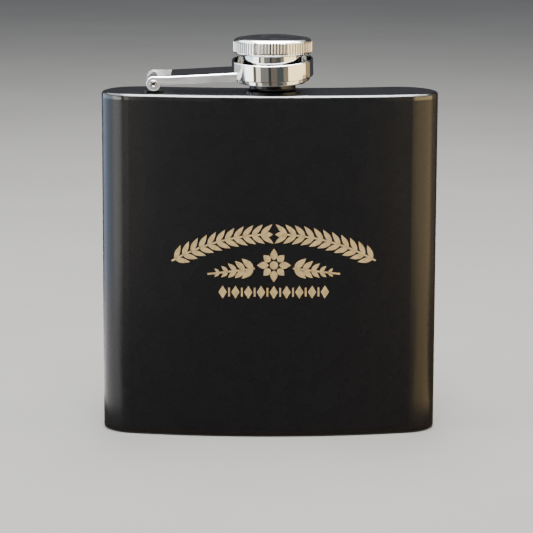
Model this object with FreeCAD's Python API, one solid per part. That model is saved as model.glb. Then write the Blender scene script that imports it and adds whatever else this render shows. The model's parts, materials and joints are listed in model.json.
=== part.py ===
"""Hip flask: a curved sheet-metal body with a captive knurled screw cap on a hinged arm.

Frame: millimetres, +Z up, the convex front face looks along -Y, the arm's hinge is on the -X side.
The origin is on the flat base, at the middle of the body's width and depth.
"""
import FreeCAD, Part
import math
import os

from FreeCAD import Placement, Rotation, Vector

# Body
BODY_WIDTH = 94.0
BODY_HEIGHT = 96.0
BODY_THICKNESS = 22.5
BODY_SAGITTA = 7.0           # how far the mid surface bows over the half width
CORNER_RADIUS = 10.0         # of the narrow sides, seen from above
WALL = 0.6

# Pressed end plates
PLATE_DEPTH = 1.7
PLATE_EDGE_RADIUS = 0.9
PLATE_SHEET = 0.6
RIM_WIDTH = 2.0
BASE_RECESS = 0.4
RIM_INNER_RADIUS = 0.25

# Neck
NECK_X = 0.65
NECK_BORE = 5.1
NECK_RADIUS = 6.4
NECK_CORE = 6.1
NECK_LIP = 6.2
NECK_FOOT = 7.8
NECK_TOP = 9.0               # heights in the cap group are counted from the top plate
SPIGOT_RADIUS = 5.95
SPIGOT_HOLE = 6.0
SPIGOT_LENGTH = 2.2

# Screw thread, the same lead on the neck and inside the cap
THREAD_LEAD = 3.0
THREAD_WIDTH = 1.1
THREAD_CREST = 0.4
NECK_THREAD_RADIUS = 6.5
NECK_THREAD_FROM = 3.2
CAP_THREAD_RADIUS = 7.4
CAP_THREAD_FROM = 4.2
THREAD_TURNS = 1.25

# Cap
CAP_RADIUS = 10.95
CAP_UNDERSIDE = 10.5
CAP_UNDERSIDE_RADIUS = 9.95
CAP_BAND_FROM = 11.6
CAP_BAND_TO = 13.65
CAP_TOP_EDGE = 15.05
CAP_TOP_EDGE_RADIUS = 9.65
CAP_APEX = 15.9
CAP_SHEET = 0.8
RIB_COUNT = 78
RIB_DEPTH = 0.25
RIB_HALF_WIDTH = 0.27         # as a part of the pitch
SLEEVE_RADIUS = 8.05
SLEEVE_BORE = 7.6
SLEEVE_FOOT_RADIUS = 7.85
CROWN_RADIUS = 9.0
CROWN_THICKNESS = 0.9
SEAL_THICKNESS = 0.95
SEAL_GAP = 0.02
FIT_GAP = 0.05
RING_RADIUS = 9.05
RING_BOTTOM = 2.5
RING_THICKNESS = 0.7

# Arm and collar, drawn level and then leaned over the looseness of the captive cap
COLLAR_RADIUS = 11.3
COLLAR_HEIGHT = 6.0
COLLAR_MIDDLE = 6.3
COLLAR_SHEET = 0.6
COLLAR_HOLE = 8.5
COLLAR_EDGE_RADIUS = 0.3
SKIRT_RADIUS = 10.3          # of the step below the collar's floor
SKIRT_HEIGHT = 1.2
ARM_LEAN = 5.7               # degrees about X, front edge down
ARM_ROLL = 1.7               # degrees about Y, collar end up
ARM_HALF_WIDTH = 5.3
ARM_SHEET = 0.7
ARM_BEND_RADIUS = 0.45
ARM_DEPTH = 2.35
ARM_SLOPE = 1.4              # degrees, of the web against the collar
WEB_END_X = -28.15           # from the cap's axis
WEB_END_Z = -0.25            # top of the web there, from the collar's middle
HINGE_X = -33.05
HINGE_Z = -2.2
EAR_RADIUS = 2.07
EAR_EDGE_RADIUS = 0.3

# Hinge
PIN_RADIUS = 0.8
PIN_BORE = 0.5
PIN_HEAD_RADIUS = 1.05
PIN_HEAD_THICKNESS = 0.3
PIN_ROLL_RADIUS = 0.2         # of the rolled head's inner and outer edges
PIN_CLEARANCE = 0.03
KNUCKLE_RADIUS = 1.75
KNUCKLE_GAP = 0.15
STRAP_HALF_LENGTH = 2.6
STRAP_THICKNESS = 0.6
STRAP_INSET = 0.5             # from the knuckle's ends
STRAP_CORNER = 1.0
STEM_HALF_WIDTH = 0.9

# Worked out: the body's plan is two concentric arcs about a point behind the flask
half_width = BODY_WIDTH / 2
mid_radius = (half_width ** 2 + BODY_SAGITTA ** 2) / (2 * BODY_SAGITTA)
front_radius = mid_radius + BODY_THICKNESS / 2
back_radius = mid_radius - BODY_THICKNESS / 2
front_corner_reach = front_radius - CORNER_RADIUS
back_corner_reach = back_radius + CORNER_RADIUS
front_corner_angle = math.asin((half_width - CORNER_RADIUS) / front_corner_reach)
end_angle = front_corner_angle + math.asin(CORNER_RADIUS / front_corner_reach)
back_corner_angle = end_angle - math.asin(CORNER_RADIUS / back_corner_reach)
rearmost = CORNER_RADIUS - back_corner_reach * math.cos(back_corner_angle)
centre_y = (front_radius - rearmost) / 2
neck_y = centre_y - mid_radius
neck_axis = Vector(NECK_X, neck_y, BODY_HEIGHT)
crown_bottom = NECK_TOP + SEAL_GAP + SEAL_THICKNESS
arm_placement = Placement(
    neck_axis + Vector(0, 0, COLLAR_MIDDLE),
    Rotation(Vector(0, 1, 0), -ARM_ROLL).multiply(Rotation(Vector(1, 0, 0), ARM_LEAN)),
)


def ray(angle):
    """Direction from the centre of curvature towards the front, angle measured from -Y."""
    return Vector(math.sin(angle), -math.cos(angle), 0)


def mirrored(point):
    return Vector(-point.x, point.y, point.z)


def arc(start, middle, end):
    return Part.Arc(start, middle, end).toShape()


def body_outline(inset):
    """Closed plan of the body, moved inwards by inset."""
    centre = Vector(0, centre_y, 0)
    corner = CORNER_RADIUS - inset
    sideways = Vector(math.cos(end_angle), math.sin(end_angle), 0)
    front_corner = centre + ray(front_corner_angle) * front_corner_reach
    back_corner = centre + ray(back_corner_angle) * back_corner_reach
    front_end = front_corner + ray(front_corner_angle) * corner
    front_bend = front_corner + (ray(front_corner_angle) + sideways).normalize() * corner
    front_side = front_corner + sideways * corner
    back_side = back_corner + sideways * corner
    back_bend = back_corner + (sideways - ray(back_corner_angle)).normalize() * corner
    back_end = back_corner - ray(back_corner_angle) * corner
    front_middle = centre + ray(0) * (front_radius - inset)
    back_middle = centre + ray(0) * (back_radius + inset)
    edges = [
        arc(mirrored(front_end), front_middle, front_end),
        arc(front_end, front_bend, front_side),
        Part.makeLine(front_side, back_side),
        arc(back_side, back_bend, back_end),
        arc(back_end, back_middle, mirrored(back_end)),
        arc(mirrored(back_end), mirrored(back_bend), mirrored(back_side)),
        Part.makeLine(mirrored(back_side), mirrored(front_side)),
        arc(mirrored(front_side), mirrored(front_bend), mirrored(front_end)),
    ]
    return Part.Wire(edges)


def body_prism(inset, bottom, top):
    prism = Part.Face(body_outline(inset)).extrude(Vector(0, 0, top - bottom))
    prism.translate(Vector(0, 0, bottom))
    return prism


def box(low, high):
    solid = Part.makeBox(high[0] - low[0], high[1] - low[1], high[2] - low[2])
    solid.translate(Vector(*low))
    return solid


def edges_at_height(solid, height):
    return [edge for edge in solid.Edges
            if abs(edge.BoundBox.ZMin - height) < 1e-4 and abs(edge.BoundBox.ZMax - height) < 1e-4]


def turned(steps):
    """Solid of revolution about Z. Each step is a point (r, z), or ((r, z), (r, z)) for an arc."""
    start = Vector(steps[0][0], 0, steps[0][1])
    edges = []
    here = start
    for step in steps[1:] + [steps[0]]:
        if isinstance(step[0], tuple):
            middle = Vector(step[0][0], 0, step[0][1])
            there = Vector(step[1][0], 0, step[1][1])
            edges.append(arc(here, middle, there))
        else:
            there = Vector(step[0], 0, step[1])
            edges.append(Part.makeLine(here, there))
        here = there
    face = Part.Face(Part.Wire(edges))
    return face.revolve(Vector(0, 0, 0), Vector(0, 0, 1), 360)


def on_neck(solid):
    """Move a solid drawn about Z, with its heights counted from the rim, to the neck's axis."""
    solid.translate(neck_axis)
    return solid


def bend_point(centre, radius, degrees):
    """Point on a circle in the half plane used by turned()."""
    angle = math.radians(degrees)
    return (centre[0] + radius * math.cos(angle), centre[1] + radius * math.sin(angle))


def thread_ridge(root, crest, bottom):
    """Helical ridge between two radii; root may be the larger one, for an inner thread."""
    half_root = THREAD_WIDTH / 2
    half_crest = THREAD_CREST / 2
    helix = Part.makeHelix(THREAD_LEAD, THREAD_LEAD * THREAD_TURNS, min(root, crest))
    section = Part.makePolygon([
        Vector(root, 0, -half_root),
        Vector(crest, 0, -half_crest),
        Vector(crest, 0, half_crest),
        Vector(root, 0, half_root),
        Vector(root, 0, -half_root),
    ])
    ridge = Part.Wire(helix.Edges).makePipeShell([section], True, True)
    ridge.translate(Vector(0, 0, bottom))
    return ridge


def shell_half(is_front):
    """One half of the formed body wall; the halves meet in the middle of the narrow sides."""
    wall = body_prism(0, PLATE_DEPTH, BODY_HEIGHT - PLATE_DEPTH)
    wall = wall.cut(body_prism(WALL, 0, BODY_HEIGHT))
    seam_y = centre_y - mid_radius * math.cos(end_angle)
    far = BODY_WIDTH
    if is_front:
        side = box((-far, -far, 0), (far, seam_y, BODY_HEIGHT))
    else:
        side = box((-far, seam_y, 0), (far, far, BODY_HEIGHT))
    return wall.common(side)


def end_plate(recess):
    """Pressed plate with a rounded edge on a thick border, drawn with its outer face up.

    The outer face is at z = PLATE_DEPTH, and lies lower by recess inside the border.
    """
    plate = body_prism(0, 0, PLATE_DEPTH)
    plate = plate.makeFillet(PLATE_EDGE_RADIUS, edges_at_height(plate, PLATE_DEPTH))
    return plate.cut(body_prism(RIM_WIDTH, 0, PLATE_DEPTH - recess - PLATE_SHEET))


def edge_is_inner(edge):
    """True where an edge of the rim's flat face lies on the side towards the recess."""
    inner = Part.Face(body_outline(RIM_WIDTH - 0.1))
    point = edge.valueAt((edge.FirstParameter + edge.LastParameter) / 2)
    return inner.isInside(Vector(point.x, point.y, 0), 1e-3, True)


def top_plate():
    plate = end_plate(0)
    plate.translate(Vector(0, 0, BODY_HEIGHT - PLATE_DEPTH))
    hole = Part.makeCylinder(SPIGOT_HOLE, 2 * PLATE_DEPTH, Vector(NECK_X, neck_y, BODY_HEIGHT - 2 * PLATE_DEPTH))
    return plate.cut(hole)


def base_plate():
    """Bottom plate, which stands on a rim around a shallow recess."""
    plate = end_plate(BASE_RECESS)
    plate = plate.cut(body_prism(RIM_WIDTH, PLATE_DEPTH - BASE_RECESS, PLATE_DEPTH + 1))
    inner_edges = [edge for edge in edges_at_height(plate, PLATE_DEPTH) if edge_is_inner(edge)]
    plate = plate.makeFillet(RIM_INNER_RADIUS, inner_edges)
    return plate.mirror(Vector(0, 0, PLATE_DEPTH / 2), Vector(0, 0, 1))


def neck():
    foot_edge = 0.35
    foot_top = 1.3
    tube = turned([
        (NECK_BORE, -SPIGOT_LENGTH),
        (SPIGOT_RADIUS, -SPIGOT_LENGTH),
        (SPIGOT_RADIUS, 0),
        (NECK_FOOT, 0),
        (NECK_FOOT, foot_edge),
        ((NECK_RADIUS + 0.4, foot_edge + 0.27), (NECK_RADIUS, foot_top)),
        (NECK_RADIUS, NECK_THREAD_FROM - 0.7),
        (NECK_CORE, NECK_THREAD_FROM - 0.4),
        (NECK_CORE, NECK_TOP - 0.9),
        (NECK_LIP, NECK_TOP - 0.7),
        (NECK_LIP, NECK_TOP - 0.2),
        (NECK_LIP - 0.2, NECK_TOP),
        (NECK_BORE + 0.2, NECK_TOP),
        (NECK_BORE, NECK_TOP - 0.2),
    ])
    ridge = thread_ridge(NECK_CORE - 0.15, NECK_THREAD_RADIUS, NECK_THREAD_FROM + THREAD_WIDTH / 2)
    return on_neck(tube.fuse(ridge))


def hinge_frame():
    """Placement of the hinge: its axis runs along the leaned arm's own Y."""
    return arm_placement.multiply(Placement(Vector(HINGE_X, 0, HINGE_Z), Rotation()))


def across_hinge(radius, half_length):
    """Cylinder on the hinge axis."""
    cylinder = Part.makeCylinder(radius, 2 * half_length, Vector(0, -half_length, 0), Vector(0, 1, 0))
    cylinder.Placement = hinge_frame().multiply(cylinder.Placement)
    return cylinder


def hinge_bracket():
    """Strap welded to the top plate, with a stem up to the knuckle that holds the pin."""
    knuckle_half = ARM_HALF_WIDTH - ARM_SHEET - KNUCKLE_GAP
    middle = hinge_frame().Base
    strap_half = knuckle_half - STRAP_INSET
    strap = box((middle.x - STRAP_HALF_LENGTH, middle.y - strap_half, BODY_HEIGHT),
                (middle.x + STRAP_HALF_LENGTH, middle.y + strap_half, BODY_HEIGHT + STRAP_THICKNESS))
    upright = [edge for edge in strap.Edges if edge.BoundBox.ZLength > STRAP_THICKNESS / 2]
    strap = strap.makeFillet(STRAP_CORNER, upright)
    knuckle = across_hinge(KNUCKLE_RADIUS, knuckle_half)
    stem = box((middle.x - STEM_HALF_WIDTH, middle.y - strap_half, BODY_HEIGHT),
               (middle.x + STEM_HALF_WIDTH, middle.y + strap_half, middle.z))
    bracket = strap.fuse([stem, knuckle])
    bracket = bracket.cut(across_hinge(PIN_RADIUS + PIN_CLEARANCE, ARM_HALF_WIDTH))
    return bracket.removeSplitter()


def hinge_pin():
    """Hollow rivet through both ears and the knuckle, with rolled heads."""
    head_from = ARM_HALF_WIDTH + PIN_CLEARANCE
    shank = across_hinge(PIN_RADIUS, head_from)
    heads = across_hinge(PIN_HEAD_RADIUS, head_from + PIN_HEAD_THICKNESS)
    heads = heads.cut(across_hinge(2 * PIN_HEAD_RADIUS, head_from))
    bore = across_hinge(PIN_BORE, 2 * ARM_HALF_WIDTH)
    rivet = shank.fuse(heads).cut(bore).removeSplitter()
    middle = hinge_frame().Base
    rims = [edge for edge in rivet.Edges
            if edge.Closed and edge.CenterOfMass.distanceToPoint(middle) > head_from + PIN_HEAD_THICKNESS / 2]
    return rivet.makeFillet(PIN_ROLL_RADIUS, rims)


def collar():
    """Ring around the cap's sleeve: a wall, a floor that the cap's ring can't pass, and a skirt."""
    top = COLLAR_HEIGHT / 2
    floor = SKIRT_HEIGHT - top
    outer = COLLAR_RADIUS
    bend = COLLAR_EDGE_RADIUS
    lip = COLLAR_SHEET / 2
    return turned([
        (COLLAR_HOLE, floor),
        (SKIRT_RADIUS - COLLAR_SHEET, floor),
        (SKIRT_RADIUS - COLLAR_SHEET, -top),
        (SKIRT_RADIUS - bend, -top),
        (bend_point((SKIRT_RADIUS - bend, bend - top), bend, -45), (SKIRT_RADIUS, bend - top)),
        (SKIRT_RADIUS, floor),
        (outer - bend, floor),
        (bend_point((outer - bend, floor + bend), bend, -45), (outer, floor + bend)),
        (outer, top - lip),
        ((outer - lip, top), (outer - COLLAR_SHEET, top - lip)),
        (outer - COLLAR_SHEET, floor + COLLAR_SHEET),
        (COLLAR_HOLE, floor + COLLAR_SHEET),
    ])


def channel(half_width_y, drop, reach):
    """The arm's side profile made solid: |y| up to half_width_y, its top moved down by drop."""
    slope = math.tan(math.radians(ARM_SLOPE))
    reach_z = WEB_END_Z + (reach - WEB_END_X) * slope
    points = [
        (HINGE_X, HINGE_Z + EAR_RADIUS - drop),
        (WEB_END_X, WEB_END_Z - drop),
        (reach, reach_z - drop),
        (reach, reach_z - ARM_DEPTH),
        (WEB_END_X, WEB_END_Z - ARM_DEPTH),
        (HINGE_X, HINGE_Z),
    ]
    outline = [Vector(x, -half_width_y, z) for x, z in points]
    face = Part.Face(Part.makePolygon(outline + [outline[0]]))
    return face.extrude(Vector(0, 2 * half_width_y, 0))


def captive_arm():
    """Channel-section arm: web and two flanges, forked into ears at the hinge, one with its collar."""
    reach = -8.6
    outside = channel(ARM_HALF_WIDTH, 0, reach)
    bends = [edge for edge in outside.Edges
             if edge.BoundBox.YLength < 1e-4 and edge.CenterOfMass.z > HINGE_Z + EAR_RADIUS - 0.05
             and edge.BoundBox.XLength > 1]
    outside = outside.makeFillet(ARM_BEND_RADIUS, bends)
    ears = Part.makeCylinder(EAR_RADIUS, 2 * ARM_HALF_WIDTH, Vector(HINGE_X, -ARM_HALF_WIDTH, HINGE_Z), Vector(0, 1, 0))
    ears = ears.makeFillet(EAR_EDGE_RADIUS, [edge for edge in ears.Edges if edge.Closed])
    arm = outside.fuse(ears)
    inner_half = ARM_HALF_WIDTH - ARM_SHEET
    under_web = channel(inner_half, ARM_SHEET, reach)
    under_web = under_web.fuse(box((WEB_END_X, -inner_half, -2 * COLLAR_HEIGHT), (reach, inner_half, -ARM_DEPTH)))
    fork = box((HINGE_X - 2 * EAR_RADIUS, -inner_half, -2 * COLLAR_HEIGHT), (WEB_END_X, inner_half, COLLAR_HEIGHT))
    arm = arm.cut(under_web.fuse(fork))
    arm = arm.cut(Part.makeCylinder(COLLAR_RADIUS - COLLAR_SHEET / 2, 4 * COLLAR_HEIGHT,
                                    Vector(0, 0, -2 * COLLAR_HEIGHT)))
    arm = arm.fuse(collar()).removeSplitter()
    arm.Placement = arm_placement.multiply(arm.Placement)
    return arm.cut(across_hinge(PIN_RADIUS + PIN_CLEARANCE, 2 * ARM_HALF_WIDTH))


def knurled_prism(bottom, top):
    """Round bar with upright ribs: flat-bottomed grooves between rounded crests."""
    pitch = 2 * math.pi / RIB_COUNT
    root = CAP_RADIUS - RIB_DEPTH
    edges = []
    for rib in range(RIB_COUNT):
        middle = rib * pitch
        places = [(root, -RIB_HALF_WIDTH), (CAP_RADIUS, 0), (root, RIB_HALF_WIDTH), (root, 1 - RIB_HALF_WIDTH)]
        foot, crest, heel, next_foot = [
            Vector(radius * math.cos(middle + part * pitch), radius * math.sin(middle + part * pitch), bottom)
            for radius, part in places
        ]
        edges.append(arc(foot, crest, heel))
        edges.append(Part.makeLine(heel, next_foot))
    return Part.Face(Part.Wire(edges)).extrude(Vector(0, 0, top - bottom))


def cap_shell():
    """Knurled crown of the cap, drawn from sheet and crimped under the sleeve's flange."""
    root = CAP_RADIUS - RIB_DEPTH
    blank = turned([
        (0, CAP_UNDERSIDE),
        (CAP_UNDERSIDE_RADIUS, CAP_UNDERSIDE),
        ((CAP_RADIUS - 0.3, CAP_UNDERSIDE + 0.4), (CAP_RADIUS, CAP_BAND_FROM)),
        (CAP_RADIUS, CAP_BAND_TO),
        ((CAP_RADIUS - 0.45, CAP_TOP_EDGE - 0.38), (CAP_TOP_EDGE_RADIUS, CAP_TOP_EDGE)),
        (CAP_TOP_EDGE_RADIUS, CAP_APEX + 1),
        (0, CAP_APEX + 1),
    ])
    dome_rise = CAP_APEX - CAP_TOP_EDGE
    dome_radius = (CAP_TOP_EDGE_RADIUS ** 2 + dome_rise ** 2) / (2 * dome_rise)
    dome = blank.common(Part.makeSphere(dome_radius, Vector(0, 0, CAP_APEX - dome_radius)))
    cavity = turned([
        (0, CAP_UNDERSIDE + CAP_SHEET),
        (root - CAP_SHEET, CAP_UNDERSIDE + CAP_SHEET),
        (root - CAP_SHEET, CAP_BAND_TO),
        (CAP_TOP_EDGE_RADIUS - CAP_SHEET, CAP_TOP_EDGE - CAP_SHEET),
        (0, CAP_APEX - CAP_SHEET),
    ])
    opening = Part.makeCylinder(SLEEVE_RADIUS + FIT_GAP, 2 * CAP_SHEET, Vector(0, 0, CAP_UNDERSIDE - CAP_SHEET / 2))
    shell = dome.common(knurled_prism(CAP_UNDERSIDE - 1, CAP_APEX + 1))
    return on_neck(shell.cut(cavity).cut(opening))


def cap_sleeve():
    """Threaded inner cup of the cap, with a flange that the crown is crimped over."""
    foot = RING_BOTTOM + 0.1
    seat = RING_BOTTOM + RING_THICKNESS
    flange_bottom = CAP_UNDERSIDE + CAP_SHEET + FIT_GAP
    flange_top = flange_bottom + CROWN_THICKNESS
    cup = turned([
        (0, crown_bottom),
        (SLEEVE_BORE, crown_bottom),
        (SLEEVE_BORE, foot),
        (SLEEVE_FOOT_RADIUS, foot),
        (SLEEVE_FOOT_RADIUS, seat),
        (SLEEVE_RADIUS, seat),
        (SLEEVE_RADIUS, flange_bottom),
        (CROWN_RADIUS, flange_bottom),
        (CROWN_RADIUS, flange_top),
        (0, flange_top),
    ])
    ridge = thread_ridge(SLEEVE_BORE + 0.15, CAP_THREAD_RADIUS, CAP_THREAD_FROM)
    return on_neck(cup.fuse(ridge))


def cap_retaining_ring():
    """Ring on the foot of the sleeve that keeps the cap in the collar."""
    top = RING_BOTTOM + RING_THICKNESS
    edge = RING_THICKNESS / 3
    return on_neck(turned([
        (SLEEVE_FOOT_RADIUS + FIT_GAP, RING_BOTTOM),
        (RING_RADIUS - edge, RING_BOTTOM),
        (RING_RADIUS, RING_BOTTOM + edge),
        (RING_RADIUS, top - edge),
        (RING_RADIUS - edge, top),
        (SLEEVE_FOOT_RADIUS + FIT_GAP, top),
    ]))


def cap_seal():
    """Soft disc between the cap's ceiling and the lip of the neck."""
    return Part.makeCylinder(SLEEVE_BORE - FIT_GAP, SEAL_THICKNESS, neck_axis + Vector(0, 0, NECK_TOP + SEAL_GAP))


NODES = {
    "front_shell": lambda: shell_half(True),
    "back_shell": lambda: shell_half(False),
    "top_plate": top_plate,
    "base_plate": base_plate,
    "neck": neck,
    "hinge_bracket": hinge_bracket,
    "hinge_pin": hinge_pin,
    "captive_arm": captive_arm,
    "cap_shell": cap_shell,
    "cap_sleeve": cap_sleeve,
    "cap_retaining_ring": cap_retaining_ring,
    "cap_seal": cap_seal,
}

os.makedirs("parts", exist_ok=True)
for node, build in NODES.items():
    shape = build()
    solids = shape.Solids
    if len(solids) != 1 or not solids[0].isValid():
        raise ValueError(f"{node}: {len(solids)} solids, valid {[solid.isValid() for solid in solids]}")
    solids[0].exportStep(f"parts/{node}.step")
    span = shape.BoundBox
    print(node, f"{span.XMin:.2f}..{span.XMax:.2f}", f"{span.YMin:.2f}..{span.YMax:.2f}",
          f"{span.ZMin:.2f}..{span.ZMax:.2f}", f"volume {shape.Volume:.1f}")
hinge = hinge_frame()
axis = hinge.Rotation.multVec(Vector(0, -1, 0))
print("hinge", hinge.Base, "axis", axis, "neck", neck_axis)
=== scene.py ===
"""Hip flask: black powder-coated body, chromed captive cap and arm, and a bare-steel engraving."""

import json
import math

import bmesh
import bpy
from mathutils import Matrix, Vector
from mathutils.bvhtree import BVHTree


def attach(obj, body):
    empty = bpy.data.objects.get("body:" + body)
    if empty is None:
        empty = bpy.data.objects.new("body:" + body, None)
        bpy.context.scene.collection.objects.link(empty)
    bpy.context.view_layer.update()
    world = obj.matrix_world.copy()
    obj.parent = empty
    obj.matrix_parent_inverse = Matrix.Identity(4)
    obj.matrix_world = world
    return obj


MM = 0.001

# Camera, in the flask's own frame
CAMERA_PLACE = Vector((-12.85, -684.2, 166.06)) * MM
CAMERA_YAW = 0.01758
CAMERA_PITCH = 0.17334
CAMERA_ROLL = 0.00356
CAMERA_LENS = 166.04
CAMERA_SENSOR = 36
CAMERA_NEAREST = 0.01

# Height above which the hinge bracket is left uncoated, and how far the coat's edge wanders and fades
KNUCKLE_BARE_FROM = 97.4 * MM
COAT_EDGE_WANDER = 0.15 * MM
COAT_EDGE_FADE = 0.1 * MM

# The arm's flanges are brushed along their length up to here, where its polished collar begins
BRUSHED_UNTIL = -9.2 * MM
BRUSHED_BLEND = 0.2 * MM

# Engraving on the front face: distances from its own middle column and from the floor
ENGRAVING_X = 1.0 * MM
ENGRAVING_PROUD = 0.03 * MM
ENGRAVING_DEPTH = 0.03 * MM
ENGRAVING_STRIP = 1.5 * MM
STEM_WIDTH = 0.5 * MM
LEAF_STEPS = 10

ARCH_RADIUS = 55.3 * MM
ARCH_TOP = 57.6 * MM
ARCH_HALF_ANGLE = math.radians(30.8)
ARCH_GAP_ANGLE = math.radians(2.6)
ARCH_STEM_STEPS = 24
ARCH_LEAF_PAIRS = 11
ARCH_FIRST_LEAF = math.radians(1.0)
ARCH_LEAF_SPACING = math.radians(2.6)
ARCH_LEAF_LEAN = 0.68
ARCH_LEAF = (4.3 * MM, 1.4 * MM)
ARCH_TIP_LEAF = (2.2 * MM, 1.3 * MM)

ROSETTE_HEIGHT = 48.9 * MM
ROSETTE_RADIUS = 4.7 * MM
ROSETTE_DISC_RADIUS = 1.15 * MM
ROSETTE_DISC_CORNERS = 24
PETALS = 8
PETAL_FROM = 1.45 * MM
PETAL_WIDTH = 2.0 * MM
SHORT_PETAL_CUT = 0.65 * MM

SPRAY_HALF_WIDTH = 18.4 * MM
SPRAY_GAP = 0.6 * MM
SPRAY_DROP = (0.9 * MM, 2.6 * MM)
SPRAY_LEAF_PAIRS = 5
SPRAY_FIRST_LEAF = 0.03
SPRAY_LEAF_SPACING = 0.18
SPRAY_LEAF_LEAN = 0.72
SPRAY_LEAF_LENGTH = 4.3 * MM
SPRAY_LEAF_SHRINK = 0.62 * MM
SPRAY_LEAF_SLIMNESS = 0.42

ROW_HEIGHT = 41.3 * MM
ROW_HALF_WIDTH = 14.2 * MM
ROW_LOZENGES = 9
LOZENGE_HALF_WIDTH = 1.15 * MM
LOZENGE_HALF_HEIGHT = 1.85 * MM
BAR_HALF_HEIGHT = 1.25 * MM

# Floor and soft lamps: name, place, width and height, power, colour
FLOOR_REACH = 12.0
LAMP_TARGET = (0, 0, 0.06)
LAMPS = (
    ("overhead", (0.0, -0.05, 0.8), (0.32, 1.3), 11, (1.0, 0.99, 0.97)),
    ("left_soft", (-0.75, -0.1, 0.35), (0.8, 0.6), 4, (0.86, 0.93, 1.0)),
    ("right_soft", (0.75, -0.15, 0.35), (0.7, 0.6), 3, (1.0, 0.88, 0.72)),
)
WORLD_COLOUR = (0.30, 0.32, 0.35)
WORLD_STRENGTH = 0.5

# Panels around the flask, seen only in its gloss: first and last direction in degrees from the front to the
# right, lowest and highest point, colour
PANEL_DISTANCE = 0.25
PANEL_TOP = 0.26
SIDE_LOW = 0.13
SIDE_MIDDLE = 0.22
SIDE_TOP = 0.5
PANEL_STEP = 4
PANELS = (
    (-136, -84, 0, SIDE_LOW, (1.65, 2.00, 2.60)),
    (-84, -57, 0, SIDE_LOW, (4.1, 4.1, 3.9)),
    (-136, -57, SIDE_LOW, SIDE_MIDDLE, (0.80, 0.81, 0.84)),
    (-136, -57, SIDE_MIDDLE, SIDE_TOP, (5.0, 5.2, 5.4)),
    (-57, -48, 0, PANEL_TOP, (0.15, 0.13, 0.10)),
    (-48, -35, 0, PANEL_TOP, (1.6, 1.45, 1.2)),
    (-35, -12, 0, PANEL_TOP, (0.25, 0.24, 0.22)),
    (-12, -5, 0, PANEL_TOP, (0.05, 0.05, 0.05)),
    (-5, 12, 0, PANEL_TOP, (0.19, 0.16, 0.13)),
    (12, 30, 0, PANEL_TOP, (0.09, 0.10, 0.10)),
    (30, 44, 0, PANEL_TOP, (0.30, 0.25, 0.17)),
    (44, 104, 0, SIDE_LOW, (3.2, 2.35, 1.2)),
    (44, 104, SIDE_LOW, SIDE_MIDDLE, (0.84, 0.82, 0.78)),
    (44, 104, SIDE_MIDDLE, SIDE_TOP, (5.3, 5.1, 4.7)),
    (104, 128, 0, PANEL_TOP, (0.45, 0.33, 0.18)),
    (128, 224, 0, PANEL_TOP, (0.06, 0.06, 0.07)),
)

# Mat under the panels, seen only in the gloss too, with a lighter sector on each side
MAT_HEIGHT = 0.4 * MM
MAT_COLOUR = (0.10, 0.065, 0.035)
SECTOR_FROM = 0.069
SECTOR_HEIGHT = 0.6 * MM
SECTORS = (
    (-140, -68, (2.2, 2.05, 2.05)),
    (60, 98, (2.3, 1.6, 0.70)),
)

# Ceiling, seen only in the gloss too: bright to a little behind the flask, dim beyond
CEILING_HEIGHT = 0.6
CEILING_REACH = 0.6
CEILING_SPLIT = 0.2
CEILING_COLOUR = (26.0, 26.6, 27.2)
CEILING_BACK_COLOUR = (0.8, 0.82, 0.85)


def placed(name, data):
    """Put an object with this data into the scene."""
    made = bpy.data.objects.new(name, data)
    bpy.context.scene.collection.objects.link(made)
    return made


def surface(name, corners, faces):
    data = bpy.data.meshes.new(name)
    data.from_pydata(corners, [], faces)
    return placed(name, data)


def node(tree, kind, **settings):
    """Add a shader node; settings are attributes, or input values by socket name in the inputs dict."""
    made = tree.nodes.new(kind)
    inputs = settings.pop("inputs", {})
    for name, value in settings.items():
        setattr(made, name, value)
    for name, value in inputs.items():
        made.inputs[name].default_value = value
    return made


def new_material(name, **sockets):
    """Material with one principled shader; sockets are values for the shader's inputs, with _ for a space."""
    material = bpy.data.materials.new(name)
    material.use_nodes = True
    tree = material.node_tree
    shader = tree.nodes["Principled BSDF"]
    for socket, value in sockets.items():
        shader.inputs[socket.replace("_", " ")].default_value = value
    return material, tree, shader


def noise(tree, scale, detail=2.0, roughness=0.5, stretch=(1, 1, 1)):
    """Noise in the object's own coordinates, in metres."""
    place = node(tree, "ShaderNodeTexCoord")
    spread = node(tree, "ShaderNodeMapping", inputs={"Scale": stretch})
    cloud = node(tree, "ShaderNodeTexNoise", inputs={"Scale": scale, "Detail": detail, "Roughness": roughness})
    tree.links.new(place.outputs["Object"], spread.inputs["Vector"])
    tree.links.new(spread.outputs["Vector"], cloud.inputs["Vector"])
    return cloud.outputs["Fac"]


def axes(tree, coordinates):
    """The X, Y and Z outputs of one of the texture coordinates, such as Object or Normal."""
    place = node(tree, "ShaderNodeTexCoord")
    parts = node(tree, "ShaderNodeSeparateXYZ")
    tree.links.new(place.outputs[coordinates], parts.inputs["Vector"])
    return parts.outputs


def worked_out(tree, operation, *sources):
    made = node(tree, "ShaderNodeMath", operation=operation)
    for socket, source in zip(made.inputs, sources):
        tree.links.new(source, socket)
    return made.outputs["Value"]


def span(tree, source, low, high, start, end):
    """Map source between low and high onto a number between start and end."""
    made = node(tree, "ShaderNodeMapRange",
                inputs={"From Min": low, "From Max": high, "To Min": start, "To Max": end})
    tree.links.new(source, made.inputs["Value"])
    return made.outputs["Result"]


def tinted(tree, shader, source, dark, light, low=0.3, high=0.7):
    """Colour the surface from dark to light as source goes from low to high."""
    made = node(tree, "ShaderNodeValToRGB")
    first, last = made.color_ramp.elements
    first.position = low
    last.position = high
    first.color = (*dark, 1)
    last.color = (*light, 1)
    tree.links.new(source, made.inputs["Fac"])
    tree.links.new(made.outputs["Color"], shader.inputs["Base Color"])


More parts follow.
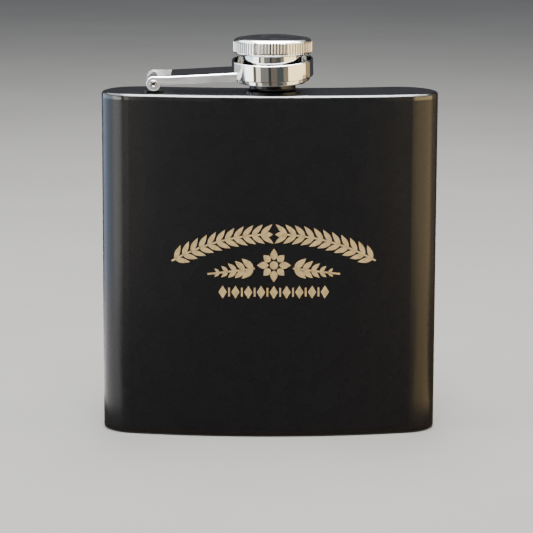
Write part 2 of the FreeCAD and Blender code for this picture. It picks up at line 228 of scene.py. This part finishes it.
def roughened(tree, shader, source, smooth, rough, low=0.3, high=0.7):
    tree.links.new(span(tree, source, low, high, smooth, rough), shader.inputs["Roughness"])


def bump(tree, shader, height, strength, distance, under=None):
    """Put a relief on the surface, on top of the one that under gives."""
    made = node(tree, "ShaderNodeBump", inputs={"Strength": strength, "Distance": distance})
    tree.links.new(height, made.inputs["Height"])
    if under is not None:
        tree.links.new(under, made.inputs["Normal"])
    tree.links.new(made.outputs["Normal"], shader.inputs["Normal"])
    return made.outputs["Normal"]


def powder_coat(name, dark, light, smooth, rough, grain, level=0.5):
    """Black powder coat: fine orange-peel grain, cloudy gloss and a faint change of tone."""
    material, tree, shader = new_material(name, Specular_IOR_Level=level)
    tinted(tree, shader, noise(tree, 60, 3), dark, light, 0.35, 0.65)
    roughened(tree, shader, noise(tree, 220, 3), smooth, rough)
    coarse = bump(tree, shader, noise(tree, 900, 2), 0.25, grain * 2)
    bump(tree, shader, noise(tree, 3200, 2), 0.5, grain, coarse)
    return material


def polished_chrome(name):
    """Bright chrome plate with faint waves from polishing; also gives its handling haze and its waves."""
    material, tree, shader = new_material(name, Metallic=1.0)
    tinted(tree, shader, noise(tree, 90, 3), (0.80, 0.80, 0.79), (0.90, 0.90, 0.89))
    waves = bump(tree, shader, noise(tree, 160, 1), 0.35, 0.02 * MM)
    return material, tree, shader, noise(tree, 350, 4, 0.6), waves


def cap_chrome():
    """Chrome with handling haze and hairline scratches."""
    material, tree, shader, haze, waves = polished_chrome("cap_chrome_look")
    roughened(tree, shader, haze, 0.05, 0.16, 0.35, 0.75)
    bump(tree, shader, noise(tree, 900, 3, 0.6, (1, 1, 7)), 0.25, 0.003 * MM, waves)
    return material


def arm_chrome():
    """Chrome that is mirror-bright on the collar and the web, and brushed lengthways on the arm's flanges."""
    material, tree, shader, haze, waves = polished_chrome("arm_chrome_look")
    along = span(tree, axes(tree, "Object")["X"], BRUSHED_UNTIL - BRUSHED_BLEND, BRUSHED_UNTIL, 1.0, 0.0)
    sideways = worked_out(tree, "ABSOLUTE", axes(tree, "Normal")["Y"])
    brushed = worked_out(tree, "MULTIPLY", along, span(tree, sideways, 0.6, 0.9, 0.0, 1.0))
    streaks = noise(tree, 4000, 3, 0.6, (0.04, 1, 1))
    rough = worked_out(tree, "MULTIPLY_ADD", brushed, span(tree, streaks, 0.3, 0.7, 0.26, 0.40),
                       span(tree, haze, 0.35, 0.75, 0.04, 0.10))
    tree.links.new(rough, shader.inputs["Roughness"])
    bump(tree, shader, worked_out(tree, "MULTIPLY", brushed, streaks), 0.6, 0.012 * MM, waves)
    return material


def bracket_steel():
    """Hinge bracket: black coat on the strap and stem, and a bare polished knuckle above them."""
    material, tree, shader = new_material("bracket_steel_look")
    wander = span(tree, noise(tree, 2200, 3), 0.3, 0.7, -COAT_EDGE_WANDER, COAT_EDGE_WANDER)
    edge = worked_out(tree, "ADD", axes(tree, "Object")["Z"], wander)
    bare = span(tree, edge, KNUCKLE_BARE_FROM, KNUCKLE_BARE_FROM + COAT_EDGE_FADE, 0.0, 1.0)
    tree.links.new(bare, shader.inputs["Metallic"])
    tinted(tree, shader, bare, (0.007, 0.007, 0.008), (0.82, 0.81, 0.79), 0.0, 1.0)
    roughened(tree, shader, noise(tree, 1200, 3), 0.12, 0.26)
    bump(tree, shader, noise(tree, 2400, 2), 0.3, 0.004 * MM)
    return material


def pin_steel():
    """Bare steel of the rivet, lightly worn."""
    material, tree, shader = new_material("pin_steel_look", Metallic=1.0)
    tinted(tree, shader, noise(tree, 800, 3), (0.66, 0.65, 0.62), (0.82, 0.80, 0.76))
    roughened(tree, shader, noise(tree, 2500, 3), 0.12, 0.24)
    bump(tree, shader, noise(tree, 3000, 2), 0.3, 0.006 * MM)
    return material


def seal_plastic():
    """Pale, slightly cloudy plastic."""
    material, tree, shader = new_material("seal_plastic_look", Subsurface_Weight=0.1,
                                          Subsurface_Scale=0.5 * MM)
    tinted(tree, shader, noise(tree, 300, 2), (0.68, 0.68, 0.64), (0.78, 0.78, 0.75))
    roughened(tree, shader, noise(tree, 700, 2), 0.42, 0.58)
    bump(tree, shader, noise(tree, 1500, 2), 0.2, 0.01 * MM)
    return material


def engraved_steel():
    """Bare steel left by a laser: fine-grained and scanned in faint level lines, its warm brown colour a
    painted reflection of warm surroundings.
    """
    material, tree, shader = new_material("engraved_steel_look", Metallic=0.5)
    # Warm brown tones: painted reflection of warm surroundings in the bare steel, not the steel's own colour
    tinted(tree, shader, noise(tree, 900, 4, 0.7), (0.37, 0.255, 0.110), (0.60, 0.435, 0.205))
    roughened(tree, shader, noise(tree, 2000, 3), 0.45, 0.65)
    bump(tree, shader, noise(tree, 1200, 2, 0.5, (1, 1, 8)), 0.4, 0.01 * MM)
    return material


def finish_nodes(nodes):
    """Give every CAD node the detailed material of its slot."""
    looks = {
        "body_coating": powder_coat("body_coating_look", (0.0108, 0.0107, 0.0122), (0.0116, 0.0115, 0.0131),
                                    0.26, 0.29, 0.009 * MM, 0.3),
        "plate_coating": powder_coat("plate_coating_look", (0.0090, 0.0090, 0.0105), (0.0100, 0.0100, 0.0115),
                                     0.14, 0.17, 0.004 * MM, 1.0),
        "neck_coating": powder_coat("neck_coating_look", (0.004, 0.004, 0.005), (0.007, 0.007, 0.008),
                                    0.14, 0.22, 0.003 * MM),
        "bracket_steel": bracket_steel(),
        "pin_steel": pin_steel(),
        "arm_chrome": arm_chrome(),
        "cap_chrome": cap_chrome(),
        "seal_plastic": seal_plastic(),
    }
    slots = {part["node"]: part["material_slot"] for part in frame["record"]["subparts"]}
    for name, part in nodes.items():
        for slot in part.material_slots:
            slot.material = looks[slots[name]]


def direction(angle):
    return Vector((math.cos(angle), math.sin(angle)))


def arc_points(centre, radius, start, end, count):
    return [centre + direction(start + (end - start) * i / count) * radius for i in range(count + 1)]


def leaf(base, angle, length, width):
    """Pointed leaf from base, as a ring of points."""
    along = direction(angle)
    across = Vector((-along.y, along.x))
    sides = [(i / LEAF_STEPS, math.sin(math.pi * (i / LEAF_STEPS) ** 0.8) * width / 2)
             for i in range(LEAF_STEPS + 1)]
    left = [base + along * (length * t) + across * half for t, half in sides]
    right = [base + along * (length * t) - across * half for t, half in reversed(sides[1:-1])]
    return left + right


def lozenge(middle, half_width, half_height):
    return [middle + Vector(corner) for corner in
            ((half_width, 0), (0, half_height), (-half_width, 0), (0, -half_height))]


def strip(start, end, width):
    """Straight bar from start to end, as four corners."""
    along = (end - start).normalized() * (width / 2)
    across = Vector((-along.y, along.x))
    return [start - across, end - across, end + across, start + across]


def laurel_arch():
    """Two sprigs of leaves that climb an arch from its ends and meet under its top."""
    centre = Vector((0, ARCH_TOP - ARCH_RADIUS))
    shapes = []
    for side in (-1, 1):
        stem = arc_points(centre, ARCH_RADIUS, math.pi / 2 - side * ARCH_HALF_ANGLE,
                          math.pi / 2 - side * ARCH_GAP_ANGLE, ARCH_STEM_STEPS)
        shapes += [strip(a, b, STEM_WIDTH) for a, b in zip(stem, stem[1:])]
        for i in range(ARCH_LEAF_PAIRS):
            turn = ARCH_HALF_ANGLE - ARCH_FIRST_LEAF - ARCH_LEAF_SPACING * i
            place = centre + Vector((math.sin(turn) * side, math.cos(turn))) * ARCH_RADIUS
            heading = math.pi / 2 + side * (math.pi / 2 - turn)
            for lean in (-ARCH_LEAF_LEAN, ARCH_LEAF_LEAN):
                shapes.append(leaf(place, heading + lean, *ARCH_LEAF))
        shapes.append(leaf(stem[-1], math.pi / 2 + side * math.pi / 2, *ARCH_TIP_LEAF))
    return shapes


def rosette():
    """Flower of four long and four short petals around a disc."""
    centre = Vector((0, ROSETTE_HEIGHT))
    disc_end = 2 * math.pi * (ROSETTE_DISC_CORNERS - 1) / ROSETTE_DISC_CORNERS
    shapes = [arc_points(centre, ROSETTE_DISC_RADIUS, 0, disc_end, ROSETTE_DISC_CORNERS - 1)]
    for i in range(PETALS):
        angle = 2 * math.pi * i / PETALS
        reach = ROSETTE_RADIUS - PETAL_FROM - (SHORT_PETAL_CUT if i % 2 else 0)
        shapes.append(leaf(centre + direction(angle) * PETAL_FROM, angle, reach, PETAL_WIDTH))
    return shapes


def side_sprays():
    """Beside the rosette: a stem on each side, with pairs of leaves that shrink outwards."""
    shapes = []
    for side in (-1, 1):
        start = Vector((side * (ROSETTE_RADIUS + SPRAY_GAP), ROSETTE_HEIGHT - SPRAY_DROP[0]))
        end = Vector((side * SPRAY_HALF_WIDTH, ROSETTE_HEIGHT - SPRAY_DROP[1]))
        shapes.append(strip(start, end, STEM_WIDTH))
        outward = 0 if side > 0 else math.pi
        for i in range(SPRAY_LEAF_PAIRS):
            place = start.lerp(end, SPRAY_FIRST_LEAF + SPRAY_LEAF_SPACING * i)
            length = SPRAY_LEAF_LENGTH - SPRAY_LEAF_SHRINK * i
            for lean in (SPRAY_LEAF_LEAN, -SPRAY_LEAF_LEAN):
                shapes.append(leaf(place, outward + lean, length, length * SPRAY_LEAF_SLIMNESS))
    return shapes


def lower_row():
    """Lozenges and bars in a level row."""
    shapes = []
    step = ROW_HALF_WIDTH / (ROW_LOZENGES - 1)
    upward = Vector((0, BAR_HALF_HEIGHT))
    for i in range(ROW_LOZENGES):
        middle = Vector((-ROW_HALF_WIDTH + 2 * step * i, ROW_HEIGHT))
        shapes.append(lozenge(middle, LOZENGE_HALF_WIDTH, LOZENGE_HALF_HEIGHT))
        if i < ROW_LOZENGES - 1:
            between = middle + Vector((step, 0))
            shapes.append(strip(between - upward, between + upward, STEM_WIDTH))
    return shapes


def engrave(name, shapes, wall, look):
    """Flat shapes cut into narrow upright strips, laid on the curved front and given a thickness."""
    mesh = bmesh.new()
    for shape in shapes:
        corners = [mesh.verts.new((point.x + ENGRAVING_X, 0, point.y)) for point in shape]
        mesh.faces.new(corners)
    bmesh.ops.triangulate(mesh, faces=mesh.faces[:])
    low = min(vert.co.x for vert in mesh.verts)
    high = max(vert.co.x for vert in mesh.verts)
    cut = math.ceil(low / ENGRAVING_STRIP) * ENGRAVING_STRIP
    while cut < high:
        bmesh.ops.bisect_plane(mesh, geom=mesh.verts[:] + mesh.edges[:] + mesh.faces[:],
                               plane_co=(cut, 0, 0), plane_no=(1, 0, 0))
        cut += ENGRAVING_STRIP
    for face in mesh.faces:
        if face.normal.y > 0:
            face.normal_flip()
    far = Vector((0, -1, 0))
    for vert in mesh.verts:
        hit = wall.ray_cast(Vector((vert.co.x, far.y, vert.co.z)), -far)[0]
        vert.co.y = hit.y - ENGRAVING_PROUD
    front = mesh.faces[:]
    rim = [(loop.vert, loop.link_loop_next.vert)
           for loop in [edge.link_loops[0] for edge in mesh.edges if edge.is_boundary]]
    inward = Vector((0, ENGRAVING_PROUD + ENGRAVING_DEPTH, 0))
    behind = {vert: mesh.verts.new(vert.co + inward) for vert in mesh.verts[:]}
    for face in front:
        mesh.faces.new([behind[vert] for vert in reversed(face.verts[:])])
    for start, end in rim:
        mesh.faces.new((end, start, behind[start], behind[end]))
    data = bpy.data.meshes.new(name)
    mesh.to_mesh(data)
    mesh.free()
    piece = placed(name, data)
    data.materials.append(look)
    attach(piece, "flask")


def engraving(nodes):
    front = nodes["front_shell"].data
    wall = BVHTree.FromPolygons([vert.co for vert in front.vertices],
                                [tuple(face.vertices) for face in front.polygons])
    look = engraved_steel()
    engrave("engraved_arch", laurel_arch(), wall, look)
    engrave("engraved_rosette", rosette(), wall, look)
    engrave("engraved_sprays", side_sprays(), wall, look)
    engrave("engraved_row", lower_row(), wall, look)


def area_light(name, place, size, power, colour):
    lamp = bpy.data.lights.new(name, "AREA")
    lamp.shape = "RECTANGLE"
    lamp.size, lamp.size_y = size
    lamp.energy = power
    lamp.color = colour
    holder = placed(name, lamp)
    holder.location = place
    holder.rotation_euler = (Vector(LAMP_TARGET) - Vector(place)).to_track_quat("-Z", "Y").to_euler()


def glow(name, corners, faces, colour):
    """Luminous surface that lights nothing and shows in gloss only."""
    screen = surface(name, corners, faces)
    material = bpy.data.materials.new(name)
    material.use_nodes = True
    tree = material.node_tree
    light = node(tree, "ShaderNodeEmission", inputs={"Color": (*colour, 1), "Strength": 1})
    tree.links.new(light.outputs["Emission"], tree.nodes["Material Output"].inputs["Surface"])
    screen.data.materials.append(material)
    screen.visible_camera = False
    screen.visible_diffuse = False
    screen.visible_shadow = False
    screen.visible_transmission = False


def swept(name, start, end, first, last, colour):
    """Surface swept around the flask between two directions, from one (distance, height) to another."""
    steps = max(2, round((end - start) / PANEL_STEP))
    corners = []
    faces = []
    for i in range(steps + 1):
        angle = math.radians(start + (end - start) * i / steps)
        for distance, height in (first, last):
            corners.append((distance * math.sin(angle), -distance * math.cos(angle), height))
        if i < steps:
            faces.append((2 * i, 2 * i + 1, 2 * i + 3, 2 * i + 2))
    glow(name, corners, faces, colour)


def sheet_corners(half_width, front, back, height):
    return [(-half_width, front, height), (half_width, front, height),
            (half_width, back, height), (-half_width, back, height)]


def level_sheet(name, half_width, front, back, height, colour):
    glow(name, sheet_corners(half_width, front, back, height), [(0, 1, 2, 3)], colour)


def pale_floor():
    floor = surface("floor", sheet_corners(FLOOR_REACH, -FLOOR_REACH, FLOOR_REACH, 0), [(0, 1, 2, 3)])
    material, tree, shader = new_material("floor_look", Roughness=0.7, Specular_IOR_Level=0.0)
    tinted(tree, shader, noise(tree, 9, 3), (0.60, 0.59, 0.57), (0.64, 0.63, 0.61))
    floor.data.materials.append(material)


def studio():
    """Pale floor, soft lamps overhead and on both sides, and what the chrome and the coat reflect."""
    pale_floor()
    for lamp in LAMPS:
        area_light(*lamp)
    for number, (start, end, low, high, colour) in enumerate(PANELS):
        swept(f"panel_{number}", start, end, (PANEL_DISTANCE, low), (PANEL_DISTANCE, high), colour)
    for number, (start, end, colour) in enumerate(SECTORS):
        swept(f"sector_{number}", start, end, (SECTOR_FROM, SECTOR_HEIGHT), (PANEL_DISTANCE, SECTOR_HEIGHT),
              colour)
    level_sheet("mat", PANEL_DISTANCE, -PANEL_DISTANCE, PANEL_DISTANCE, MAT_HEIGHT, MAT_COLOUR)
    level_sheet("ceiling", CEILING_REACH, -CEILING_REACH, CEILING_SPLIT, CEILING_HEIGHT, CEILING_COLOUR)
    level_sheet("ceiling_back", CEILING_REACH, CEILING_SPLIT, CEILING_REACH, CEILING_HEIGHT,
                CEILING_BACK_COLOUR)
    world = bpy.data.worlds.new("studio")
    bpy.context.scene.world = world
    world.use_nodes = True
    background = world.node_tree.nodes["Background"]
    background.inputs["Color"].default_value = (*WORLD_COLOUR, 1)
    background.inputs["Strength"].default_value = WORLD_STRENGTH


def camera():
    lens = bpy.data.cameras.new("camera")
    lens.lens = CAMERA_LENS
    lens.sensor_width = CAMERA_SENSOR
    lens.clip_start = CAMERA_NEAREST
    holder = placed("camera", lens)
    forward = Vector((math.sin(CAMERA_YAW) * math.cos(CAMERA_PITCH),
                      math.cos(CAMERA_YAW) * math.cos(CAMERA_PITCH),
                      -math.sin(CAMERA_PITCH)))
    level = Vector((math.cos(CAMERA_YAW), -math.sin(CAMERA_YAW), 0))
    upward = level.cross(forward)
    side = level * math.cos(CAMERA_ROLL) + upward * math.sin(CAMERA_ROLL)
    top = upward * math.cos(CAMERA_ROLL) - level * math.sin(CAMERA_ROLL)
    turn = Matrix((side, top, -forward)).transposed().to_4x4()
    holder.matrix_world = Matrix.Translation(CAMERA_PLACE) @ turn
    bpy.context.scene.camera = holder


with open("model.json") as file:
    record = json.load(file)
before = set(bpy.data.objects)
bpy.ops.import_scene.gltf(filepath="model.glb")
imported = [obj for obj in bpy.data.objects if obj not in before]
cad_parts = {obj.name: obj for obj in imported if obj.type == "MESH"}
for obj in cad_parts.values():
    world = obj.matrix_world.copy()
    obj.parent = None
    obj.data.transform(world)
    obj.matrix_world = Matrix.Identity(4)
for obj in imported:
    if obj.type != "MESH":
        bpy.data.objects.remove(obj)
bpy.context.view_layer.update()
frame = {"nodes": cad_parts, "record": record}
finish_nodes(frame["nodes"])
engraving(frame["nodes"])
studio()
camera()
